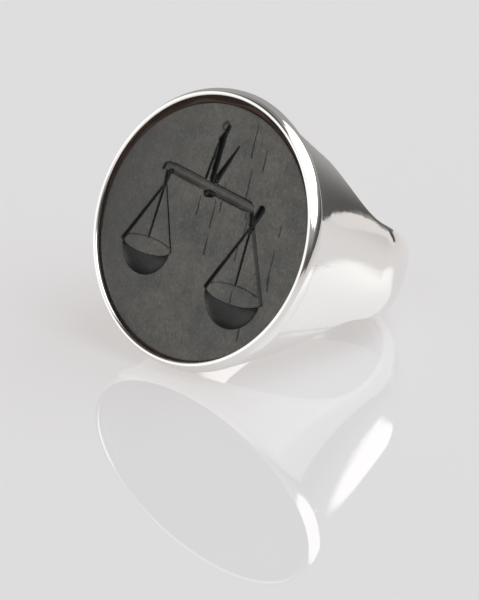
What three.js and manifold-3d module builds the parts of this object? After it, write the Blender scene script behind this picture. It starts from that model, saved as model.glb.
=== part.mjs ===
// Oval signet ring lying on its side, with a sunk carved stone.
//
// Millimetres, +Z up. The ring is first modelled in its own frame, called the ring frame:
//   x runs across the head, y runs along the axis of the finger hole, and z runs from the
//   back of the shank, through the centre of the hole, to the face. The hole's axis is y.
// The ring group then tilts that frame, so that the ring rests on the edge of its head and on
// the back of its shank, and moves it so that the bottom centre of its box is the origin.

import * as THREE from 'three';
import { mergeVertices } from 'three/addons/utils/BufferGeometryUtils.js';
import Module from 'manifold-3d';

const wasm = await Module();
wasm.setup();

// ---- Driving dimensions -------------------------------------------------------------------

const HOLE_RADIUS = 9.1;          // finger hole, 18.2 mm across
const SHANK_RADIUS = 10.15;       // outside of the shank
const BACK_HALF_WIDTH = 2.9;      // half the width of the shank at its back
const BACK_DOME = 0.7;            // rise of the rounded outside of the back
const FACE_HEIGHT = 11.4;         // crest of the rim above the hole's axis
const RIM_HALF_X = 10.75;         // rim crest, half the oval across the finger
const RIM_HALF_Y = 11.0;          // rim crest, half the oval along the finger

const GIRDLE_OUT = 0.45;          // the head is widest here, outside the rim crest
const GIRDLE_DROP = 1.1;          // and this far below it
const SECTION_POWER = 3.1;        // sections are ovals at the head and squarer at the back
const SECTION_FADE = 1.25;        // how late they turn into ovals
const SIDE_POWER = 2.2;           // how late the sides swell out towards the head
const FLARE_START = 0.09;         // share of the depth that keeps the width of the back
const FLARE_SOFTNESS = 0.085;
const FLARE_POWER = 0.84;

const CLEARANCE = 0.06;           // between neighbouring pieces
const LIP_INSIDE = 0.25;          // inner wall of the rim, inside its crest
const SEAT_TAPER = 0.45;          // how fast the seat in the head narrows with its depth
const CEMENT_WALL = 0.06;
const CEMENT_BED = 0.16;
const STONE_SUNK = 0.5;           // the stone's face lies this far below the rim crest
const STONE_THICK = 1.1;
const STONE_SHORT = 0.44;         // the stone is this much shorter than its room in the seat

const AROUND = 72;                // steps around the oval
const BACK_ROWS = 20;
const HEAD_ROWS = 14;

// ---- Heights and offsets that follow from them ----------------------------------------------

const girdleHeight = FACE_HEIGHT - GIRDLE_DROP;
const stoneTop = FACE_HEIGHT - STONE_SUNK;
const stoneBottom = stoneTop - STONE_THICK;
const cementTop = stoneTop - 0.1;
const stoneEdge = -LIP_INSIDE - CEMENT_WALL - 2 * CLEARANCE;
const bedTop = stoneBottom - CLEARANCE;
const bedBottom = bedTop - CEMENT_BED;
const pocketFloor = bedBottom - CLEARANCE;

// ---- Solids and meshes ----------------------------------------------------------------------

// The closed solid of a geometry whose faces share their vertices once merged.
function toSolid(geometry) {
  const bare = geometry.clone();
  bare.deleteAttribute('normal');
  bare.deleteAttribute('uv');
  const merged = mergeVertices(bare, 1e-5);
  const index = merged.index.array;
  const triangles = [];
  for (let i = 0; i < index.length; i += 3) {
    const [a, b, c] = [index[i], index[i + 1], index[i + 2]];
    if (a !== b && b !== c && c !== a) {
      triangles.push(a, b, c);
    }
  }
  return new wasm.Manifold(new wasm.Mesh({
    numProp: 3,
    vertProperties: new Float32Array(merged.attributes.position.array),
    triVerts: new Uint32Array(triangles),
  }));
}

function toGeometry(solid) {
  const mesh = solid.getMesh();
  const geometry = new THREE.BufferGeometry();
  geometry.setAttribute('position', new THREE.BufferAttribute(mesh.vertProperties, 3));
  geometry.setIndex(new THREE.BufferAttribute(mesh.triVerts, 1));
  geometry.computeVertexNormals();
  return geometry;
}

function makeMesh(name, solid, color, roughness, metalness) {
  const material = new THREE.MeshStandardMaterial({ color, roughness, metalness });
  const mesh = new THREE.Mesh(toGeometry(solid), material);
  mesh.name = name;
  return mesh;
}

// Offset, at a height, of a wall that is upright above the girdle and narrows below it.
function seatWall(offset, height) {
  return [offset - SEAT_TAPER * Math.max(0, girdleHeight - height), height];
}

// Profile of a plug with such a wall between two heights.
function seatProfile(offset, bottom, top) {
  return [
    [null, bottom],
    seatWall(offset, bottom),
    seatWall(offset, girdleHeight),
    seatWall(offset, top),
    [null, top],
  ];
}

// Turns a closed profile round the z axis into an oval piece that follows the rim's outline.
// Each profile point is [offset from the rim crest, height]; an offset of null is the centre.
function ovalPiece(profile) {
  const middle = (RIM_HALF_X + RIM_HALF_Y) / 2;
  const points = profile.map(([offset, height]) => (
    new THREE.Vector2(offset === null ? 0 : middle + offset, height)));
  const lathe = new THREE.LatheGeometry(points, AROUND);
  const position = lathe.attributes.position;
  for (let i = 0; i < position.count; i += 1) {
    const radius = Math.hypot(position.getX(i), position.getZ(i));
    const onAxis = radius < 1e-6;
    const offset = radius - middle;
    const sine = onAxis ? 0 : position.getX(i) / radius;
    const cosine = onAxis ? 0 : position.getZ(i) / radius;
    position.setXYZ(i, -(RIM_HALF_X + offset) * sine, (RIM_HALF_Y + offset) * cosine,
      position.getY(i));
  }
  return toSolid(lathe);
}

// The same plug, shortened along y by the play that the stone leaves, and moved to the lower end.
function stonePlug(offset, bottom, top) {
  const halfLength = RIM_HALF_Y + offset;
  return ovalPiece(seatProfile(offset, bottom, top))
    .scale([1, 1 - STONE_SHORT / (2 * halfLength), 1])
    .translate([0, -STONE_SHORT / 2, 0]);
}

// ---- Ring body: shank, shoulders and head in one piece of silver ------------------------------

function softRamp(x) {
  return (x + Math.hypot(x, FLARE_SOFTNESS)) / 2;
}

// 0 at the back of the shank and 1 at the girdle: how far the width has flared.
function flare(share) {
  const start = softRamp(-FLARE_START);
  const end = softRamp(1 - FLARE_START);
  return ((softRamp(share - FLARE_START) - start) / (end - start)) ** FLARE_POWER;
}

// Half sizes of the body's section at a height, and the power of its outline.
function bodySection(height) {
  const share = (height + SHANK_RADIUS) / (girdleHeight + SHANK_RADIUS);
  const rise = Math.min(1, (height + SHANK_RADIUS) / BACK_DOME);
  const round = Math.sqrt(Math.max(0, 1 - (1 - rise) ** 2));
  const headHalfX = RIM_HALF_X + GIRDLE_OUT;
  const headHalfY = RIM_HALF_Y + GIRDLE_OUT;
  let halfX = Math.sqrt(Math.max(0, SHANK_RADIUS ** 2 - height ** 2));
  if (height > 0) {
    halfX = SHANK_RADIUS + (headHalfX - SHANK_RADIUS) * (height / girdleHeight) ** SIDE_POWER;
  }
  const halfY = (BACK_HALF_WIDTH + (headHalfY - BACK_HALF_WIDTH) * flare(share)) * round;
  const power = SECTION_POWER + (2 - SECTION_POWER) * share ** SECTION_FADE;
  return { halfX, halfY, power };
}

// A stack of oval sections from the back of the shank up to the girdle.
function bodyBlank() {
  const rows = [new THREE.Vector2(0, -SHANK_RADIUS)];
  for (let i = 1; i <= BACK_ROWS; i += 1) {
    rows.push(new THREE.Vector2(1, SHANK_RADIUS * ((i / BACK_ROWS) ** 2 - 1)));
  }
  for (let i = 1; i <= HEAD_ROWS; i += 1) {
    rows.push(new THREE.Vector2(1, girdleHeight * i / HEAD_ROWS));
  }
  rows.push(new THREE.Vector2(0, girdleHeight));
  const lathe = new THREE.LatheGeometry(rows, AROUND);
  const position = lathe.attributes.position;
  for (let i = 0; i < position.count; i += 1) {
    const sine = position.getX(i);
    const cosine = position.getZ(i);
    const height = position.getY(i);
    const { halfX, halfY, power } = bodySection(height);
    const length = Math.abs(sine) ** power + Math.abs(cosine) ** power;
    const reach = length > 0 ? length ** (-1 / power) : 0;
    position.setXYZ(i, -halfX * sine * reach, halfY * cosine * reach, height);
  }
  return toSolid(lathe);
}

function ringBody() {
  const hole = toSolid(new THREE.CylinderGeometry(HOLE_RADIUS, HOLE_RADIUS, 40, 96));
  const seat = ovalPiece(seatProfile(-LIP_INSIDE, pocketFloor, FACE_HEIGHT));
  return bodyBlank().subtract(hole).subtract(seat);
}

// ---- Rim: a collar on the girdle with a bevelled outside and a rounded lip ---------------------

function bezelRim() {
  const ledge = girdleHeight + CLEARANCE;
  const lipRadius = 0.2;
  const profile = [
    [-LIP_INSIDE, ledge],
    [GIRDLE_OUT, ledge],
    [GIRDLE_OUT - 0.03, ledge + 0.3],
  ];
  const lipSteps = 5;
  for (let i = 0; i <= lipSteps; i += 1) {
    const angle = Math.PI * i / lipSteps;
    profile.push([
      -LIP_INSIDE + lipRadius + lipRadius * Math.cos(angle) * (1 + 0.4 * Math.cos(angle)),
      FACE_HEIGHT - lipRadius + lipRadius * Math.sin(angle),
    ]);
  }
  profile.push([-LIP_INSIDE, ledge]);
  return ovalPiece(profile);
}

// ---- Cement: a thin dish that the stone lies in, thickest above the top of the stone ------------

function stoneCement() {
  const dish = ovalPiece(seatProfile(-LIP_INSIDE - CLEARANCE, bedBottom, cementTop));
  return dish.subtract(stonePlug(stoneEdge + CLEARANCE, bedTop, FACE_HEIGHT));
}

// ---- Stone, with a balance cut into its face ---------------------------------------------------

// A round-bottomed groove in the face from one point to another, as [x, y] pairs.
function groove([x1, y1], [x2, y2], radius1, radius2) {
  const start = new THREE.Vector3(x1, y1, stoneTop);
  const end = new THREE.Vector3(x2, y2, stoneTop);
  const length = start.distanceTo(end);
  const rod = new THREE.CylinderGeometry(radius2, radius1, length, 10);
  const along = end.clone().sub(start).normalize();
  const turn = new THREE.Quaternion().setFromUnitVectors(new THREE.Vector3(0, 1, 0), along);
  rod.applyQuaternion(turn);
  const middle = start.clone().add(end).multiplyScalar(0.5);
  rod.translate(middle.x, middle.y, middle.z);
  return toSolid(rod).add(pit([x1, y1], radius1)).add(pit([x2, y2], radius2));
}

// A round pit in the face.
function pit([x, y], radius) {
  const ball = new THREE.SphereGeometry(radius, 10, 8);
  ball.translate(x, y, stoneTop);
  return toSolid(ball);
}

// A ring-shaped groove in the face.
function ringGroove([x, y], halfX, halfY, radius) {
  const ring = new THREE.TorusGeometry(1, radius, 6, 32);
  const position = ring.attributes.position;
  for (let i = 0; i < position.count; i += 1) {
    const angle = Math.atan2(position.getY(i), position.getX(i));
    const out = Math.hypot(position.getX(i), position.getY(i)) - 1;
    position.setXYZ(i, x + (halfX + out) * Math.cos(angle), y + (halfY + out) * Math.sin(angle),
      stoneTop + position.getZ(i));
  }
  return toSolid(ring);
}

// One pan on its three cords: the bowl is the lower half of a flattened ball.
function hangingPan([hangX, hangY], [panX, panY], halfWidth) {
  const bowlDepth = 0.65;
  const bowlDrop = halfWidth * 0.95;
  const rimHalfY = halfWidth * 0.28;
  const cord = 0.16;
  const ball = new THREE.SphereGeometry(1, 28, 16);
  ball.scale(halfWidth, bowlDrop, bowlDepth);
  ball.translate(panX, panY, stoneTop);
  const above = new THREE.CylinderGeometry(1, 1, 4, 28);
  above.rotateX(Math.PI / 2);
  above.scale(halfWidth * 1.01, rimHalfY, 1);
  above.translate(panX, panY, stoneTop);
  const upper = new THREE.BoxGeometry(halfWidth * 3, halfWidth * 3, 4);
  upper.translate(panX, panY + halfWidth * 1.5, stoneTop);
  const bowl = toSolid(ball).subtract(toSolid(upper)).subtract(toSolid(above));
  return bowl
    .add(ringGroove([panX, panY], halfWidth, rimHalfY, 0.1))
    .add(groove([hangX, hangY], [panX - halfWidth, panY], cord, cord))
    .add(groove([hangX, hangY], [panX, panY + rimHalfY], cord, cord * 0.7))
    .add(groove([hangX, hangY], [panX + halfWidth, panY], cord * 1.2, cord));
}

function balance() {
  const leftEnd = [-5.1, 3.95];
  const rightEnd = [3.85, 2.75];
  const fulcrum = [-0.6, 3.35];
  const ring = [-0.5, 8.3];
  const leftHang = [-5.0, 2.5];
  const rightHang = [4.5, 1.35];
  return groove(leftEnd, rightEnd, 0.42, 0.42)
    .add(pit([fulcrum[0] + 0.15, fulcrum[1] - 0.45], 0.5))
    .add(groove([fulcrum[0] - 0.5, fulcrum[1]], [ring[0] - 0.1, ring[1] - 0.3], 0.26, 0.22))
    .add(groove([fulcrum[0] + 0.2, fulcrum[1]], [ring[0] + 0.05, ring[1] - 1.0], 0.26, 0.22))
    .add(groove([fulcrum[0] + 0.5, fulcrum[1] + 0.5], [1.25, 7.1], 0.3, 0.07))
    .add(ringGroove(ring, 0.34, 0.4, 0.16))
    .add(groove([leftEnd[0] - 0.4, leftEnd[1] + 0.4], leftHang, 0.2, 0.18))
    .add(groove([rightEnd[0] + 1.25, rightEnd[1] + 0.15], rightHang, 0.36, 0.26))
    .add(groove(rightEnd, rightHang, 0.3, 0.26))
    .add(hangingPan(leftHang, [-5.2, -2.65], 2.5))
    .add(hangingPan(rightHang, [4.5, -4.3], 2.85));
}

function intaglioStone() {
  return stonePlug(stoneEdge, stoneBottom, stoneTop).subtract(balance());
}

// ---- The ring, tilted to rest on the edge of its head and the back of its shank ----------------

// Lowest height of the lower edge of the body, over a span of ring-frame heights, at a tilt.
function lowestEdge(tilt, from, to) {
  const steps = 400;
  let lowest = Infinity;
  for (let i = 0; i <= steps; i += 1) {
    const height = from + (to - from) * i / steps;
    const edge = height * Math.sin(tilt) - bodySection(height).halfY * Math.cos(tilt);
    lowest = Math.min(lowest, edge);
  }
  return lowest;
}

// The tilt of the face above the horizontal at which the head and the shank both touch down.
function restTilt() {
  let low = 0;
  let high = Math.PI / 4;
  for (let i = 0; i < 40; i += 1) {
    const tilt = (low + high) / 2;
    if (lowestEdge(tilt, 0, girdleHeight) < lowestEdge(tilt, -SHANK_RADIUS, 0)) {
      low = tilt;
    } else {
      high = tilt;
    }
  }
  return low;
}

const ring = new THREE.Group();
ring.add(makeMesh('ring_body', ringBody(), 0xe8e5e2, 0.12, 1.0));
ring.add(makeMesh('bezel_rim', bezelRim(), 0xefedea, 0.08, 1.0));
ring.add(makeMesh('stone_cement', stoneCement(), 0x3a2418, 0.6, 0.0));
ring.add(makeMesh('intaglio_stone', intaglioStone(), 0x4b4a45, 0.55, 0.0));
ring.rotation.x = Math.PI / 2 - restTilt();

const box = new THREE.Box3().setFromObject(ring, true);
const centre = box.getCenter(new THREE.Vector3());
ring.position.set(-centre.x, -centre.y, -box.min.z);

const group = new THREE.Group();
group.add(ring);
group.updateMatrixWorld(true);

export default group;
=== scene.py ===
"""Polished silver signet ring with a sunk, carved stone, lying on its side on glossy white acrylic.

The ring is modelled in millimetres in the ring frame: x across the head, y along the axis of the
finger hole, z from the back of the shank to the face. set_down() tilts it and fits it to the CAD
model's box, in metres.
"""

import math

import bpy
import numpy as np
from mathutils import Matrix, Vector


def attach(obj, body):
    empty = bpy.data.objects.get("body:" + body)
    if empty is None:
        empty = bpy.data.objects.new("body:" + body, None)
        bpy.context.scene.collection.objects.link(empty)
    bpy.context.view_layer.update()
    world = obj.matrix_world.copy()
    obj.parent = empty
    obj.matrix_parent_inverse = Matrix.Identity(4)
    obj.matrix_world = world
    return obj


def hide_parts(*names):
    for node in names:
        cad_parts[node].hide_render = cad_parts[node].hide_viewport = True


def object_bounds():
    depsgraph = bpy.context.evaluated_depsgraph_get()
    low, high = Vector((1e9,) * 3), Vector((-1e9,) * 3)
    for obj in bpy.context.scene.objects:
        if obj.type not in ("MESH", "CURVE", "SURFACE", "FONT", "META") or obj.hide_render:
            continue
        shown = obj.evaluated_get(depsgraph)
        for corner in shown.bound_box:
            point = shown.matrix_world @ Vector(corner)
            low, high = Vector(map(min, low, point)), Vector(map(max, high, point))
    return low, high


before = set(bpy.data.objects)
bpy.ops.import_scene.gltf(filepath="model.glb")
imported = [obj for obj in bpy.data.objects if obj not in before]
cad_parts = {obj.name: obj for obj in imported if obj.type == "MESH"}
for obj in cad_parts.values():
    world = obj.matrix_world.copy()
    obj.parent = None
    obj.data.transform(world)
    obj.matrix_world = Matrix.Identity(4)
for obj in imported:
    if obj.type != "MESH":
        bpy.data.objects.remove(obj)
CAD_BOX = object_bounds()

# ---- Dimensions of the ring, in millimetres ----------------------------------------------------

HOLE_RADIUS = 9.1
SHANK_RADIUS = 10.15
BACK_HALF_WIDTH = 2.9
BACK_DOME = 0.7
FACE_HEIGHT = 11.4
RIM_HALF_X = 10.75
RIM_HALF_Y = 11.0
GIRDLE_OUT = 0.45
GIRDLE_DROP = 1.1
SECTION_POWER = 3.1
SECTION_FADE = 1.25
SIDE_POWER = 2.2
FLARE_START = 0.09
FLARE_SOFTNESS = 0.085
FLARE_POWER = 0.84
LIP_INSIDE = 0.25
STONE_SUNK = 0.5
STONE_THICK = 1.1
STONE_EDGE = -0.43
STONE_SHORT = 0.44
SEAT_TAPER = 0.45
HOLE_EDGE_ROUND = 0.4
LIP_RADIUS = 0.17
BEVEL_WIDTH = 0.5
CEMENT_UNDER = 0.2
CEMENT_SUNK = 0.1
POCKET_UNDER = 0.28
SEAT_GAP = 0.005
STONE_GAP = 0.02
STONE_EDGE_ROUND = 0.08
STONE_EDGE_DROP = 0.05
CUT_SOFTNESS = 0.09

# The veins' spread is given by its left end, its likeliest place and its right end.
VEIN_COUNT = 15
VEIN_SEED = 4
VEIN_PLACES = (-4.5, 5.5, 9.0)
VEIN_LENGTHS = (0.6, 2.8)
VEIN_LEAN = 0.05
VEIN_WANDER = 0.014

GIRDLE_HEIGHT = FACE_HEIGHT - GIRDLE_DROP
STONE_TOP = FACE_HEIGHT - STONE_SUNK
STONE_BOTTOM = STONE_TOP - STONE_THICK
POCKET_FLOOR = STONE_BOTTOM - POCKET_UNDER

MM = 0.001
SHARP_ANGLE = math.radians(35)


# ---- The form of the ring body -----------------------------------------------------------------


def soft_ramp(x):
    """0 well below zero and x well above it, with a rounded corner between."""
    return (x + np.hypot(x, FLARE_SOFTNESS)) / 2


def flare(share):
    """0 at the back of the shank and 1 at the girdle: how far the width has flared."""
    start = soft_ramp(-FLARE_START)
    end = soft_ramp(1 - FLARE_START)
    return ((soft_ramp(share - FLARE_START) - start) / (end - start)) ** FLARE_POWER


def body_section(height):
    """Half sizes of the body's oval section at a height, and the power of its outline."""
    share = (height + SHANK_RADIUS) / (GIRDLE_HEIGHT + SHANK_RADIUS)
    share = np.clip(share, 0, 1)
    rise = np.clip((height + SHANK_RADIUS) / BACK_DOME, 0, 1)
    round_back = np.sqrt(1 - (1 - rise) ** 2)
    swell = np.clip(height / GIRDLE_HEIGHT, 0, 1) ** SIDE_POWER
    half_x = np.where(
        height > 0,
        SHANK_RADIUS + (RIM_HALF_X + GIRDLE_OUT - SHANK_RADIUS) * swell,
        np.sqrt(np.maximum(SHANK_RADIUS**2 - height**2, 0)),
    )
    flared = (RIM_HALF_Y + GIRDLE_OUT - BACK_HALF_WIDTH) * flare(share)
    half_y = (BACK_HALF_WIDTH + flared) * round_back
    return half_x, half_y, SECTION_POWER + (2 - SECTION_POWER) * share**SECTION_FADE


def edge_y(radius, sine, cosine):
    """How far the body reaches along the hole's axis, at a radius and direction round it."""
    half_x, half_y, power = body_section(radius * cosine)
    inside = np.maximum(1 - (radius * np.abs(sine) / np.maximum(half_x, 1e-6)) ** power, 0)
    return half_y * inside ** (1 / power)


def reach(sine, cosine):
    """Radius of the body's outside in the middle plane, or of the girdle's plane on the head."""
    low = np.full_like(sine, HOLE_RADIUS)
    high = np.full_like(sine, 2 * SHANK_RADIUS)
    for _ in range(40):
        middle = (low + high) / 2
        half_x = body_section(middle * cosine)[0]
        inside = (middle * np.abs(sine) < half_x) & (middle * cosine > -SHANK_RADIUS)
        low = np.where(inside, middle, low)
        high = np.where(inside, high, middle)
    top = np.where(cosine > 0.1, GIRDLE_HEIGHT / np.maximum(cosine, 0.1), 1e3)
    return np.minimum(low, top)


def rest_tilt():
    """The tilt at which the edge of the head and the back of the shank both touch the floor."""

    def lowest(tilt, start, end):
        height = np.linspace(start, end, 401)
        return np.min(height * math.sin(tilt) - body_section(height)[1] * math.cos(tilt))

    low, high = 0.0, math.pi / 4
    for _ in range(40):
        tilt = (low + high) / 2
        if lowest(tilt, 0, GIRDLE_HEIGHT) < lowest(tilt, -SHANK_RADIUS, 0):
            low = tilt
        else:
            high = tilt
    return low


TILT = rest_tilt()


# ---- Mesh helpers ------------------------------------------------------------------------------


def make_object(name, vertices, faces):
    """A smooth-shaded mesh object from ring-frame vertices in millimetres."""
    mesh = bpy.data.meshes.new(name)
    mesh.from_pydata(np.asarray(vertices, float).tolist(), [], faces)
    mesh.validate()
    mesh.update()
    mesh.polygons.foreach_set("use_smooth", [True] * len(mesh.polygons))
    obj = bpy.data.objects.new(name, mesh)
    bpy.context.scene.collection.objects.link(obj)
    return obj


def grid_faces(rows, columns, close_rows=False, close_columns=False):
    """Quads of a grid of rows by columns, wrapped round where it closes."""
    index = np.arange(rows * columns).reshape(rows, columns)
    if close_rows:
        index = np.vstack([index, index[:1]])
    if close_columns:
        index = np.hstack([index, index[:, :1]])
    quads = np.stack([index[:-1, :-1], index[1:, :-1], index[1:, 1:], index[:-1, 1:]], -1)
    return quads.reshape(-1, 4).tolist()


def oval_lathe(name, profile, around=512):
    """A closed profile of [offset from the rim crest, height] carried round the rim's oval."""
    profile = np.array(profile, float)
    angle = np.linspace(0, 2 * math.pi, around, endpoint=False)
    x = (RIM_HALF_X + profile[None, :, 0]) * np.sin(angle)[:, None]
    y = (RIM_HALF_Y + profile[None, :, 0]) * np.cos(angle)[:, None]
    z = np.broadcast_to(profile[None, :, 1], x.shape)
    vertices = np.stack([x, y, z], -1).reshape(-1, 3)
    faces = [quad[::-1] for quad in grid_faces(around, len(profile), True, True)]
    return make_object(name, vertices, faces)


def seat_wall(offset, height):
    """A wall that is upright above the girdle and narrows below it."""
    return [offset - SEAT_TAPER * max(0.0, GIRDLE_HEIGHT - height), height]


def seat_plug(name, offset, bottom, top):
    """A closed oval plug with the seat's wall between two heights."""
    wall = [seat_wall(offset, height) for height in (bottom, GIRDLE_HEIGHT, top)]
    around = 360
    angle = np.linspace(0, 2 * math.pi, around, endpoint=False)
    rings = [
        np.stack([(RIM_HALF_X + out) * np.cos(angle), (RIM_HALF_Y + out) * np.sin(angle),
                  np.full_like(angle, height)], -1)
        for out, height in wall
    ]
    faces = [quad[::-1] for quad in grid_faces(len(wall), around, False, True)]
    faces.append(list(range(around))[::-1])
    faces.append(list(range((len(wall) - 1) * around, len(wall) * around)))
    return make_object(name, np.concatenate(rings), faces)


def shorten(y, offset):
    """The stone is shorter than its room in the seat and lies at the lower end of it."""
    return y * (1 - STONE_SHORT / (2 * (RIM_HALF_Y + offset))) - STONE_SHORT / 2


def cut_away(obj, cutter):
    """Takes the cutter's solid out of the object and removes the cutter."""
    cut = obj.modifiers.new("cut", "BOOLEAN")
    cut.operation = "DIFFERENCE"
    cut.solver = "MANIFOLD"
    cut.object = cutter
    bpy.context.view_layer.update()
    evaluated = obj.evaluated_get(bpy.context.evaluated_depsgraph_get())
    mesh = bpy.data.meshes.new_from_object(evaluated)
    obj.modifiers.clear()
    mesh.materials.clear()
    old = obj.data
    obj.data = mesh
    bpy.data.meshes.remove(old)
    bpy.data.objects.remove(cutter)


def arc(centre, radius_x, radius_y, start, end, steps):
    """Points of an oval arc, from one angle to another in degrees."""
    angle = np.radians(np.linspace(start, end, steps))
    return np.stack([centre[0] + radius_x * np.cos(angle), centre[1] + radius_y * np.sin(angle)], -1)


# ---- The pieces --------------------------------------------------------------------------------


def make_body():
    """Shank, shoulders and head: one section of the silver for each direction round the hole."""
    head_steps, shank_steps = 361, 541
    edge_steps, side_steps = 14, 72
    wall_steps, top_steps = 26, 14
    corner = math.atan2(RIM_HALF_X + GIRDLE_OUT, GIRDLE_HEIGHT)
    across = np.sin(np.linspace(-math.pi / 2, math.pi / 2, head_steps)) * math.tan(corner)
    head = np.arctan(across)
    shank = np.linspace(corner, 2 * math.pi - corner, shank_steps)[1:-1]
    angle = np.concatenate([head, shank])
    sine, cosine = np.sin(angle)[:, None], np.cos(angle)[:, None]
    outer = reach(sine, cosine)

    into = 1 - np.cos(np.linspace(0, math.pi / 2, edge_steps))
    near = HOLE_RADIUS + HOLE_EDGE_ROUND * into[None, :] * np.minimum(
        1, (outer - HOLE_RADIUS) / (2 * HOLE_EDGE_ROUND)
    )
    rest = np.sin(np.linspace(0, math.pi / 2, side_steps))[1:]
    far = near[:, -1:] + (outer - near[:, -1:]) * rest[None, :]
    radius = np.concatenate([near, far], 1)
    y = edge_y(radius, sine, cosine)
    depth = np.clip(1 - (radius - HOLE_RADIUS) / HOLE_EDGE_ROUND, 0, 1)
    y = y - HOLE_EDGE_ROUND * (1 - np.sqrt(1 - depth**2))
    inside_girdle = np.abs(np.sin(angle)) * outer[:, 0] < RIM_HALF_X + GIRDLE_OUT - 1e-3
    y[:, -1] = np.where(inside_girdle, y[:, -1], 0)

    wall = y[:, :1] * np.linspace(-1, 1, wall_steps)[None, 1:-1]
    wall_radius = np.broadcast_to(np.full_like(sine, HOLE_RADIUS), wall.shape)
    top = y[:, -1:] * np.linspace(1, -1, top_steps)[None, 1:-1]
    top_radius = np.broadcast_to(outer, top.shape)
    y_all = np.concatenate([wall, y, top, -y[:, ::-1]], 1)
    radius_all = np.concatenate([wall_radius, radius, top_radius, radius[:, ::-1]], 1)
    vertices = np.stack([radius_all * sine, y_all, radius_all * cosine], -1)
    count = vertices.shape[1]
    faces = [quad[::-1] for quad in grid_faces(len(angle), count, True, True)]
    obj = make_object("silver_body", vertices.reshape(-1, 3), faces)
    cut_away(obj, seat_plug("seat", -LIP_INSIDE, POCKET_FLOOR, FACE_HEIGHT))
    obj.data.set_sharp_from_angle(angle=SHARP_ANGLE)
    return obj


def make_rim():
    """Collar on the girdle: a bevel outside, a thin rounded lip and an upright inner wall."""
    bevel_centre = (GIRDLE_OUT - BEVEL_WIDTH, GIRDLE_HEIGHT)
    lip_centre = (-LIP_INSIDE + LIP_RADIUS + 0.03, FACE_HEIGHT - LIP_RADIUS)
    outside = arc(bevel_centre, BEVEL_WIDTH, GIRDLE_DROP - LIP_RADIUS * 0.8, 0, 62, 18)
    crest = arc(lip_centre, LIP_RADIUS * 1.25, LIP_RADIUS, 52, 180, 22)
    inside = np.linspace([crest[-1][0], crest[-1][1] - 0.02], [-LIP_INSIDE, GIRDLE_HEIGHT], 8)
    bottom = np.linspace([-LIP_INSIDE, GIRDLE_HEIGHT], [GIRDLE_OUT, GIRDLE_HEIGHT], 5)[1:-1]
    profile = np.concatenate([outside, crest, inside, bottom])
    return oval_lathe("silver_rim", profile, 720)


def make_cement():
    """The thin dish of dark cement that the stone lies in, thickest at the stone's upper end."""
    bottom, top = STONE_BOTTOM - CEMENT_UNDER, STONE_TOP - CEMENT_SUNK
    cement = seat_plug("setting_cement", -LIP_INSIDE - SEAT_GAP, bottom, top)
    room = seat_plug("room", STONE_EDGE + STONE_GAP, STONE_BOTTOM - STONE_GAP, FACE_HEIGHT)
    for vertex in room.data.vertices:
        vertex.co.y = shorten(vertex.co.y, STONE_EDGE + STONE_GAP)
    cut_away(cement, room)
    return cement


# ---- The carving -------------------------------------------------------------------------------


def groove(x, y, start, end, radius_start, radius_end, depth=1.0):
    """Depth of a round-bottomed groove between two points, zero outside it."""
    start, end = np.array(start), np.array(end)
    along = end - start
    share = np.clip(((x - start[0]) * along[0] + (y - start[1]) * along[1]) / (along @ along), 0, 1)
    away = np.hypot(x - start[0] - share * along[0], y - start[1] - share * along[1])
    radius = radius_start + (radius_end - radius_start) * share
    return depth * np.sqrt(np.maximum(radius**2 - away**2, 0))


def ring_groove(x, y, centre, half_x, half_y, radius, depth=1.0):
    """Depth of a ring-shaped groove."""
    scale = np.hypot((x - centre[0]) / half_x, (y - centre[1]) / half_y)
    away = np.abs(scale - 1) * (half_x + half_y) / 2
    return depth * np.sqrt(np.maximum(radius**2 - away**2, 0))


def pan_cuts(x, y, hang, pan, half_width, cord_radius):
    """One pan on three cords, as cuts with the painted shade of each; the right cord is a double line.
    """
    drop = half_width * 0.95
    rim_half_y = half_width * 0.28
    across = ((x - pan[0]) / half_width) ** 2
    ball = 1 - across - ((y - pan[1]) / drop) ** 2
    below_rim = (across + ((y - pan[1]) / rim_half_y) ** 2 > 1) & (y < pan[1])
    bowl = np.where(below_rim, 0.75 * np.sqrt(np.maximum(ball, 0)), 0)
    left, right = pan[0] - half_width, pan[0] + half_width
    cord_x = hang[0] + 0.1
    line_end = [right + cord_radius, pan[1]]
    return [
        (bowl, 0.78),
        (groove(x, y, hang, [left, pan[1]], 0.12, 0.2, 1.6), 1.0),
        (groove(x, y, hang, [pan[0], pan[1] + rim_half_y], 0.13, 0.1, 1.8), 1.0),
        (groove(x, y, [cord_x, hang[1]], [right, pan[1]], cord_radius, cord_radius, 0.9), 0.6),
        (groove(x, y, [cord_x + cord_radius, hang[1]], line_end, 0.07, 0.09, 2.4), 1.0),
        (ring_groove(x, y, pan, half_width, rim_half_y, 0.08), 0.35),
    ]


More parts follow.
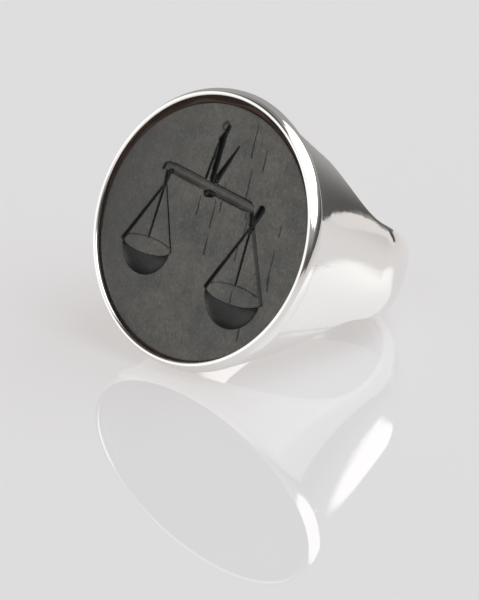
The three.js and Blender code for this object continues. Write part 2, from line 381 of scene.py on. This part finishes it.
def balance_cuts(x, y):
    """The carved pair of scales, as cuts in millimetres with the painted shade of each."""
    left_end, right_end = np.array([-5.1, 3.95]), np.array([3.85, 2.75])
    left_hang, right_hang = np.array([-5.0, 2.5]), np.array([4.5, 1.35])
    fulcrum, ring = np.array([-0.6, 3.35]), np.array([-0.5, 8.3])
    middle = fulcrum + [0.15, -0.45]
    neck = ring + [-0.05, -1.0]

    def stroke(start, end, radii, depth, darkness):
        return groove(x, y, start, end, *radii, depth), darkness

    beam = [
        stroke(left_end, right_end, (0.42, 0.42), 0.95, 0.05),
        stroke([-4.6, 4.28], [-1.3, 3.84], (0.08, 0.08), 3.4, 1.0),
        stroke([0.1, 3.66], [3.9, 3.13], (0.09, 0.11), 3.2, 1.0),
        stroke([-0.1, 2.85], [3.4, 2.38], (0.05, 0.05), 3.0, 0.8),
    ]
    knob = [
        stroke(middle - [0.25, 0], middle + [0.25, 0], (0.38, 0.34), 1.2, 1.0),
        stroke(middle, fulcrum + [0.2, 0.5], (0.16, 0.12), 2.2, 1.0),
    ]
    handle_and_pointer = [
        stroke(fulcrum + [-0.6, 0.2], ring + [-0.35, -1.4], (0.15, 0.1), 1.8, 0.9),
        stroke(fulcrum + [0.1, 0.4], neck, (0.26, 0.38), 1.5, 1.0),
        stroke(neck, ring + [0.28, 0.1], (0.32, 0.2), 1.4, 1.0),
        stroke(fulcrum + [0.5, 0.7], [1.25, 7.1], (0.32, 0.09), 1.5, 1.0),
        (ring_groove(x, y, ring, 0.32, 0.38, 0.13), 0.5),
    ]
    hooks = [
        stroke(left_end + [-0.4, 0.1], left_end + [-0.5, -0.3], (0.12, 0.12), 1.6, 1.0),
        stroke(left_end + [0.15, -0.3], left_hang, (0.34, 0.16), 1.4, 1.0),
        stroke(right_end + [1.2, 0.1], right_hang, (0.36, 0.3), 1.5, 1.0),
        stroke(right_end + [0.2, 0], right_hang, (0.2, 0.3), 1.5, 1.0),
    ]
    pans = [
        *pan_cuts(x, y, left_hang, [-5.2, -2.65], 2.5, 0.07),
        *pan_cuts(x, y, right_hang, [4.5, -4.3], 2.85, 0.2),
    ]
    return beam + knob + handle_and_pointer + hooks + pans


def vein_cuts(x, y):
    """Open hairline veins that run the long way of the stone, most of them in its right half."""
    draw = np.random.default_rng(VEIN_SEED)
    wander = VEIN_WANDER * np.sin(2.6 * y)
    cuts = []
    for _ in range(VEIN_COUNT):
        at = draw.triangular(*VEIN_PLACES)
        room = math.sqrt(RIM_HALF_Y**2 - (at * 1.1) ** 2)
        top = draw.uniform(-0.8, 1.0) * room - 0.8
        length = draw.uniform(*VEIN_LENGTHS)
        end = [at + VEIN_LEAN * length, top - length]
        cuts.append((groove(x + wander, y, [at, top], end, 0.05, 0.07, 1.2), 0.85))
    return cuts


def carve(x, y):
    """Depth of everything cut in the stone's face, and how dark its painted shade is, from 0 to 1."""
    depth = np.zeros_like(x)
    darkness = np.zeros_like(x)
    for cut, dark in balance_cuts(x, y) + vein_cuts(x, y):
        deeper = cut > depth
        soft = np.clip(cut / CUT_SOFTNESS, 0, 1)
        darkness = np.where(deeper, np.maximum(dark * soft, darkness * (1 - soft)), darkness)
        depth = np.maximum(depth, cut)
    return depth, darkness


def make_stone():
    """The oval stone: a fine grid on its face carries the carving, above a tapered side."""
    steps = 440
    line = np.linspace(-1, 1, steps + 1)
    a, b = np.meshgrid(line, line, indexing="ij")
    flat = np.abs(a) > np.abs(b)
    radius = np.where(flat, a, b)
    turn = np.where(flat, b, a) / np.where(radius == 0, 1, radius) * math.pi / 4
    across = radius * np.where(flat, np.cos(turn), np.sin(turn))
    along = radius * np.where(flat, np.sin(turn), np.cos(turn))
    edge = STONE_EDGE
    x, y = across * (RIM_HALF_X + edge), shorten(along * (RIM_HALF_Y + edge), edge)
    depth, darkness = carve(x, y)
    z = STONE_TOP - depth
    rounding = np.clip(1 - (1 - np.abs(radius)) * RIM_HALF_X / STONE_EDGE_ROUND, 0, 1)
    z = z - STONE_EDGE_DROP * rounding**2
    face = np.stack([x, y, z], -1).reshape(-1, 3)
    faces = [quad[::-1] for quad in grid_faces(steps + 1, steps + 1)]

    index = np.arange((steps + 1) ** 2).reshape(steps + 1, steps + 1)
    loop = np.concatenate([index[:-1, 0], index[-1, :-1], index[:0:-1, -1], index[0, :0:-1]])
    vertices = [face]
    previous = loop
    total = len(face)
    for height in (GIRDLE_HEIGHT, STONE_BOTTOM):
        offset = seat_wall(edge, height)[0]
        scale_x = (RIM_HALF_X + offset) / (RIM_HALF_X + edge)
        scale_y = (RIM_HALF_Y + offset) / (RIM_HALF_Y + edge)
        middle = [0, -STONE_SHORT / 2, 0]
        row = (face[loop] - middle) * [scale_x, scale_y, 0] + middle + [0, 0, height]
        vertices.append(row)
        current = np.arange(total, total + len(loop))
        total += len(loop)
        for i in range(len(loop)):
            j = (i + 1) % len(loop)
            faces.append([int(previous[j]), int(previous[i]), int(current[i]), int(current[j])])
        previous = current
    faces.append([int(k) for k in previous])
    obj = make_object("carved_stone", np.concatenate(vertices), faces)
    # Painted shade of the cuts, from 0 to 1, kept on the face's points for the material.
    cut_shade_and_polish = np.zeros(len(obj.data.vertices), np.float32)
    cut_shade_and_polish[: len(face)] = darkness.reshape(-1)
    obj.data.attributes.new("cut_shade_and_polish", "FLOAT", "POINT").data.foreach_set("value", cut_shade_and_polish)
    return obj


# ---- Setting down ------------------------------------------------------------------------------


def set_down(objects):
    """Tilts the ring-frame meshes and moves them, so that their box stands where the CAD box does."""
    turn = Matrix.Rotation(math.pi / 2 - TILT, 4, "X")
    for obj in objects:
        obj.data.transform(turn)
        obj.data.transform(Matrix.Scale(MM, 4))
    low = np.array([1e9] * 3)
    high = -low
    for obj in objects:
        points = np.array([vertex.co for vertex in obj.data.vertices])
        low = np.minimum(low, points.min(0))
        high = np.maximum(high, points.max(0))
    middle_cad = (CAD_BOX[0] + CAD_BOX[1]) / 2
    shift = Vector((
        middle_cad.x - (low[0] + high[0]) / 2,
        middle_cad.y - (low[1] + high[1]) / 2,
        CAD_BOX[0].z - low[2],
    ))
    for obj in objects:
        obj.data.transform(Matrix.Translation(shift))
        obj.data.update()
    return shift


# ---- Materials ---------------------------------------------------------------------------------


class Nodes:
    """Adds shader nodes to a material and links them."""

    def __init__(self, name):
        self.material = bpy.data.materials.new(name)
        self.material.use_nodes = True
        self.tree = self.material.node_tree
        self.shader = self.tree.nodes["Principled BSDF"]

    def add(self, kind, inputs=None, **settings):
        """A node with its inputs linked or filled in and its settings made."""
        node = self.tree.nodes.new(kind)
        for key, value in settings.items():
            setattr(node, key, value)
        for key, value in (inputs or {}).items():
            socket = node.inputs[key]
            if isinstance(value, bpy.types.NodeSocket):
                self.tree.links.new(value, socket)
            else:
                socket.default_value = value
        return node

    def set(self, **values):
        """Fills in or links inputs of the Principled shader."""
        for key, value in values.items():
            socket = self.shader.inputs[key.replace("_", " ")]
            if isinstance(value, bpy.types.NodeSocket):
                self.tree.links.new(value, socket)
            else:
                socket.default_value = value


def ring_coordinates(nodes, scale):
    """Position along the ring frame's axes, in millimetres from the scene's origin, times a scale."""
    position = nodes.add("ShaderNodeTexCoord").outputs["Object"]
    turned = nodes.add(
        "ShaderNodeMapping", {"Vector": position, "Rotation": (-(math.pi / 2 - TILT), 0, 0)}
    )
    return nodes.add(
        "ShaderNodeVectorMath",
        {0: turned.outputs["Vector"], 1: [1000 * s for s in scale]},
        operation="MULTIPLY",
    ).outputs["Vector"]


def silver(name, roughness):
    """Polished silver with a faint waviness and fine striations along the ring's height."""
    nodes = Nodes(name)
    waves = nodes.add(
        "ShaderNodeTexNoise",
        {"Vector": ring_coordinates(nodes, (1, 1, 1)), "Scale": 0.35, "Detail": 2.0},
    )
    scratches = nodes.add(
        "ShaderNodeTexNoise",
        {"Vector": ring_coordinates(nodes, (9, 9, 0.5)), "Scale": 1.0, "Detail": 3.0},
    )
    rough = nodes.add(
        "ShaderNodeMapRange",
        {"Value": scratches.outputs["Fac"], "From Min": 0.35, "From Max": 0.75,
         "To Min": roughness, "To Max": roughness + 0.06},
    )
    broad = nodes.add(
        "ShaderNodeBump", {"Height": waves.outputs["Fac"], "Strength": 0.03, "Distance": 0.0004}
    )
    fine = nodes.add(
        "ShaderNodeBump",
        {"Height": scratches.outputs["Fac"], "Strength": 0.3, "Distance": 0.000004,
         "Normal": broad.outputs["Normal"]},
    )
    nodes.set(
        Base_Color=(0.93, 0.915, 0.895, 1), Metallic=1.0, Roughness=rough.outputs["Result"],
        Normal=fine.outputs["Normal"],
    )
    return nodes.material


def stone_material():
    """Honed grey-black stone, mottled and gritty; smoother, with painted shade, where it is cut."""
    nodes = Nodes("honed_stone")
    place = ring_coordinates(nodes, (1, 1, 1))
    mottle = nodes.add(
        "ShaderNodeTexNoise", {"Vector": place, "Scale": 0.4, "Detail": 5.0, "Roughness": 0.6}
    )
    grain = nodes.add(
        "ShaderNodeTexNoise",
        {"Vector": ring_coordinates(nodes, (5.5, 0.42, 1)), "Scale": 1.0, "Detail": 4.0,
         "Roughness": 0.6},
    )
    blotches = nodes.add(
        "ShaderNodeTexNoise", {"Vector": place, "Scale": 1.4, "Detail": 6.0, "Roughness": 0.75}
    )
    dust = nodes.add(
        "ShaderNodeTexNoise",
        {"Vector": ring_coordinates(nodes, (7, 3.5, 1)), "Scale": 1.0, "Detail": 3.0, "Roughness": 0.7},
    )
    grit = nodes.add(
        "ShaderNodeTexNoise", {"Vector": place, "Scale": 3.2, "Detail": 5.0, "Roughness": 0.75}
    )
    specks = nodes.add("ShaderNodeTexVoronoi", {"Vector": place, "Scale": 1.9})
    sides = nodes.add("ShaderNodeSeparateXYZ", {"Vector": place})

    def mixed(factor, under, over):
        """One colour laid over another by a factor."""
        node = nodes.add("ShaderNodeMix", data_type="RGBA")
        for index, value in ((0, factor), (6, under), (7, over)):
            if isinstance(value, bpy.types.NodeSocket):
                nodes.tree.links.new(value, node.inputs[index])
            else:
                node.inputs[index].default_value = value
        return node.outputs[2]

    def step(source, start, end, top=1.0):
        """0 at the start and the top value at the end of a range."""
        node = nodes.add(
            "ShaderNodeMapRange", {"Value": source, "From Min": start, "From Max": end, "To Max": top}
        )
        return node.outputs["Result"]

    dark_grey, warm_grey = (0.022, 0.024, 0.021, 1), (0.11, 0.105, 0.084, 1)
    colour = mixed(step(mottle.outputs["Fac"], 0.3, 0.7), dark_grey, warm_grey)
    colour = mixed(step(blotches.outputs["Fac"], 0.48, 0.7, 0.7), colour, (0.012, 0.013, 0.012, 1))
    colour = mixed(step(grit.outputs["Fac"], 0.35, 0.7, 0.75), colour, (0.014, 0.014, 0.014, 1))
    colour = mixed(step(dust.outputs["Fac"], 0.52, 0.72, 0.5), colour, (0.17, 0.165, 0.14, 1))
    colour = mixed(step(grain.outputs["Fac"], 0.6, 0.72, 0.7), colour, (0.008, 0.008, 0.008, 1))
    # Painted shade: the face darkens from x = -2 mm to x = -8 mm, its left side.
    colour = mixed(step(sides.outputs["X"], -2.0, -8.0, 0.55), colour, (0.012, 0.012, 0.011, 1))
    colour = mixed(step(specks.outputs["Distance"], 0.1, 0.05, 0.6), colour, (0.2, 0.19, 0.16, 1))
    # Painted shade in the cuts: near-black laid over the colour by the cut mask, which also smooths
    # them.
    cut = nodes.add("ShaderNodeAttribute", attribute_name="cut_shade_and_polish").outputs["Fac"]
    colour = mixed(cut, colour, (0.007, 0.007, 0.0085, 1))

    roughness = nodes.add("ShaderNodeMapRange", {"Value": cut, "To Min": 0.44, "To Max": 0.3})
    shine = nodes.add("ShaderNodeMapRange", {"Value": cut, "To Min": 0.78, "To Max": 0.3})
    relief = nodes.add(
        "ShaderNodeBump", {"Height": grit.outputs["Fac"], "Strength": 0.6, "Distance": 0.00005}
    )
    nodes.set(
        Base_Color=colour, Roughness=roughness.outputs["Result"],
        Specular_IOR_Level=shine.outputs["Result"], Normal=relief.outputs["Normal"],
    )
    return nodes.material


def cement_material():
    """Brown setting cement with a fine grit."""
    nodes = Nodes("brown_cement")
    grit = nodes.add(
        "ShaderNodeTexNoise",
        {"Vector": ring_coordinates(nodes, (1, 1, 1)), "Scale": 6.0, "Detail": 4.0},
    )
    colour = nodes.add("ShaderNodeValToRGB", {"Fac": grit.outputs["Fac"]})
    colour.color_ramp.elements[0].color = (0.018, 0.009, 0.005, 1)
    colour.color_ramp.elements[1].color = (0.06, 0.028, 0.014, 1)
    nodes.set(Base_Color=colour.outputs["Color"], Roughness=0.6)
    return nodes.material


# ---- Build -------------------------------------------------------------------------------------

body = make_body()
rim = make_rim()
cement = make_cement()
stone = make_stone()
ring_pieces = {"ring_body": body, "bezel_rim": rim, "stone_cement": cement, "intaglio_stone": stone}
SHIFT = set_down(list(ring_pieces.values()))

finishes = {
    "ring_body": ("silver", silver("polished_silver", 0.04)),
    "bezel_rim": ("silver_rim", silver("bright_silver", 0.04)),
    "stone_cement": ("cement", cement_material()),
    "intaglio_stone": ("stone", stone_material()),
}
for node, piece in ring_pieces.items():
    slot, material = finishes[node]
    piece.data.materials.append(material)
    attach(piece, "root")
    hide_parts(node)

# ---- Stage -------------------------------------------------------------------------------------

# The floor and the aim, which is off the middle of the face, are in millimetres; the distance is
# in metres.
FLOOR_NEAR = -600
FLOOR_FAR = 2000
FLOOR_BACK = 170

CAMERA_AZIMUTH = math.radians(40.73)
CAMERA_ELEVATION = math.radians(22.9)
CAMERA_DISTANCE = 0.4853
CAMERA_LENS = 365.5
AIM_RIGHT = 3.146
AIM_DOWN = 5.708

# Radiance of the walls and panels, and of the backdrop that only the camera sees.
GREY_WALL = (0.36, 0.355, 0.35, 1)
DARK_GAP = (0.085, 0.083, 0.08, 1)
DARK_CEILING = (0.06, 0.058, 0.055, 1)
LEFT_PANEL = (1.1, 1.09, 1.08, 1)
TOP_PANEL = (1.0, 1.0, 1.0, 1)
BRIGHT_PANEL = (2.7, 2.7, 2.68, 1)
GLINT = (0.3, 0.298, 0.295, 1)
BACKDROP = (0.71, 0.705, 0.715, 1)


def ring_point(x, y, z):
    """A ring-frame point in the shared frame, in metres."""
    turned = Matrix.Rotation(math.pi / 2 - TILT, 4, "X") @ (Vector((x, y, z)) * MM)
    return turned + SHIFT


def make_floor():
    """A glossy white sheet that gives off light; the shoulder mirrors the gap in it."""
    near, far = FLOOR_NEAR, FLOOR_FAR
    gap = [(565, far), (25.5, 57), (20, 58), (30, FLOOR_BACK)]
    outline = [(near, near), (far, near), (far, far), *gap, (near, FLOOR_BACK)]
    mesh = bpy.data.meshes.new("floor")
    mesh.from_pydata([(x * MM, y * MM, 0) for x, y in outline], [], [tuple(range(len(outline)))])
    floor = bpy.data.objects.new("floor", mesh)
    bpy.context.scene.collection.objects.link(floor)
    nodes = Nodes("white_acrylic")
    # The glow is painted light that lifts the floor's shadows; the bluish base under a warmer glow
    # paints them warm.
    nodes.set(
        Base_Color=(0.2, 0.232, 0.262, 1), Roughness=0.02, IOR=1.49,
        Emission_Color=(0.5, 0.461, 0.44, 1), Emission_Strength=1.0,
    )
    floor.data.materials.append(nodes.material)


def studio_direction(azimuth, elevation):
    """A direction seen from the ring: azimuth 0 is the camera's side and 90 is to its right."""
    azimuth, elevation = math.radians(azimuth), math.radians(elevation)
    towards = Vector((math.sin(CAMERA_AZIMUTH), -math.cos(CAMERA_AZIMUTH), 0))
    right = Vector((math.cos(CAMERA_AZIMUTH), math.sin(CAMERA_AZIMUTH), 0))
    level = towards * math.cos(azimuth) + right * math.sin(azimuth)
    return level * math.cos(elevation) + Vector((0, 0, math.sin(elevation)))


def make_world():
    """A studio of soft panels, and a pale backdrop that only the camera sees.

    The walls are grey, with a dark gap low on the right and a dark ceiling high on the left. On them
    are a panel on the left, one above the camera, two bright ones high on the right, which run
    together, and a small grey spot in the dark gap.
    """
    world = bpy.data.worlds.new("studio")
    bpy.context.scene.world = world
    world.use_nodes = True
    tree = world.node_tree
    background = tree.nodes["Background"]
    direction = tree.nodes.new("ShaderNodeTexCoord").outputs["Generated"]

    def ramp(value, start, end):
        """A smooth step from 0 to 1 between two values."""
        node = tree.nodes.new("ShaderNodeMapRange")
        node.interpolation_type = "SMOOTHSTEP"
        tree.links.new(value, node.inputs["Value"])
        node.inputs["From Min"].default_value = min(start, end)
        node.inputs["From Max"].default_value = max(start, end)
        if start > end:
            node.inputs["To Min"].default_value = 1.0
            node.inputs["To Max"].default_value = 0.0
        return node.outputs["Result"]

    def facing(target, inner, outer, source):
        """1 within the inner angle of a direction, 0 beyond the outer one, in degrees."""
        dot = tree.nodes.new("ShaderNodeVectorMath")
        dot.operation = "DOT_PRODUCT"
        tree.links.new(source, dot.inputs[0])
        dot.inputs[1].default_value = target
        return ramp(dot.outputs["Value"], math.cos(math.radians(outer)), math.cos(math.radians(inner)))

    def blend(factor, under, over):
        """One radiance laid over another by a factor."""
        node = tree.nodes.new("ShaderNodeMix")
        node.data_type = "RGBA"
        for name, value in (("Factor", factor), ("A", under), ("B", over)):
            socket = next(s for s in node.inputs if s.name == name and s.enabled)
            if isinstance(value, tuple):
                socket.default_value = value
            else:
                tree.links.new(value, socket)
        return next(s for s in node.outputs if s.enabled)

    def times(a, b):
        """The product of two factors."""
        node = tree.nodes.new("ShaderNodeMath")
        node.operation = "MULTIPLY"
        tree.links.new(a, node.inputs[0])
        tree.links.new(b, node.inputs[1])
        return node.outputs[0]

    split = tree.nodes.new("ShaderNodeSeparateXYZ")
    tree.links.new(direction, split.inputs[0])
    level = tree.nodes.new("ShaderNodeVectorMath")
    level.operation = "MULTIPLY"
    level.inputs[1].default_value = (1, 1, 0)
    tree.links.new(direction, level.inputs[0])
    heading = tree.nodes.new("ShaderNodeVectorMath")
    heading.operation = "NORMALIZE"
    tree.links.new(level.outputs[0], heading.inputs[0])

    def panel(azimuth, elevation, inner, outer):
        """A round panel, full within the inner angle of its middle and gone at the outer one."""
        return facing(studio_direction(azimuth, elevation), inner, outer, direction)

    def sector(azimuth, inner, outer):
        """The same by heading alone, at every elevation."""
        return facing(studio_direction(azimuth, 0), inner, outer, heading.outputs[0])

    def lower_than(full, gone):
        """1 below the first elevation and 0 above the second one, in degrees."""
        return ramp(split.outputs["Z"], math.sin(math.radians(gone)), math.sin(math.radians(full)))

    radiance = blend(times(sector(78, 46, 80), lower_than(6, 24)), GREY_WALL, DARK_GAP)
    radiance = blend(panel(-110, 62, 22, 42), radiance, DARK_CEILING)
    radiance = blend(times(sector(-72, 22, 72), lower_than(26, 56)), radiance, LEFT_PANEL)
    radiance = blend(panel(-15, 55, 17, 27), radiance, TOP_PANEL)
    radiance = blend(panel(104, 49, 25, 28), radiance, BRIGHT_PANEL)
    radiance = blend(panel(121, 4, 6, 8), radiance, GLINT)
    radiance = blend(panel(66.8, 50.1, 29, 35), radiance, BRIGHT_PANEL)

    camera_ray = tree.nodes.new("ShaderNodeLightPath").outputs["Is Camera Ray"]
    radiance = blend(camera_ray, radiance, BACKDROP)
    tree.links.new(radiance, background.inputs["Color"])


def make_camera():
    """A long lens that looks down on the ring, to one side of the way its head faces."""
    azimuth, elevation = CAMERA_AZIMUTH, CAMERA_ELEVATION
    back = Vector((
        math.sin(azimuth) * math.cos(elevation),
        -math.cos(azimuth) * math.cos(elevation),
        math.sin(elevation),
    ))
    right = Vector((math.cos(azimuth), math.sin(azimuth), 0))
    up = back.cross(right)
    aim = ring_point(0, 0, FACE_HEIGHT) + (right * AIM_RIGHT - up * AIM_DOWN) * MM
    data = bpy.data.cameras.new("camera")
    data.lens = CAMERA_LENS
    data.sensor_width = 36
    data.clip_start, data.clip_end = 0.01, 20
    camera = bpy.data.objects.new("camera", data)
    camera.location = aim + back * CAMERA_DISTANCE
    camera.rotation_mode = "QUATERNION"
    camera.rotation_quaternion = (-back).to_track_quat("-Z", "Y")
    bpy.context.scene.collection.objects.link(camera)
    bpy.context.scene.camera = camera


make_floor()
make_world()
make_camera()
bpy.context.scene.view_settings.view_transform = "Standard"
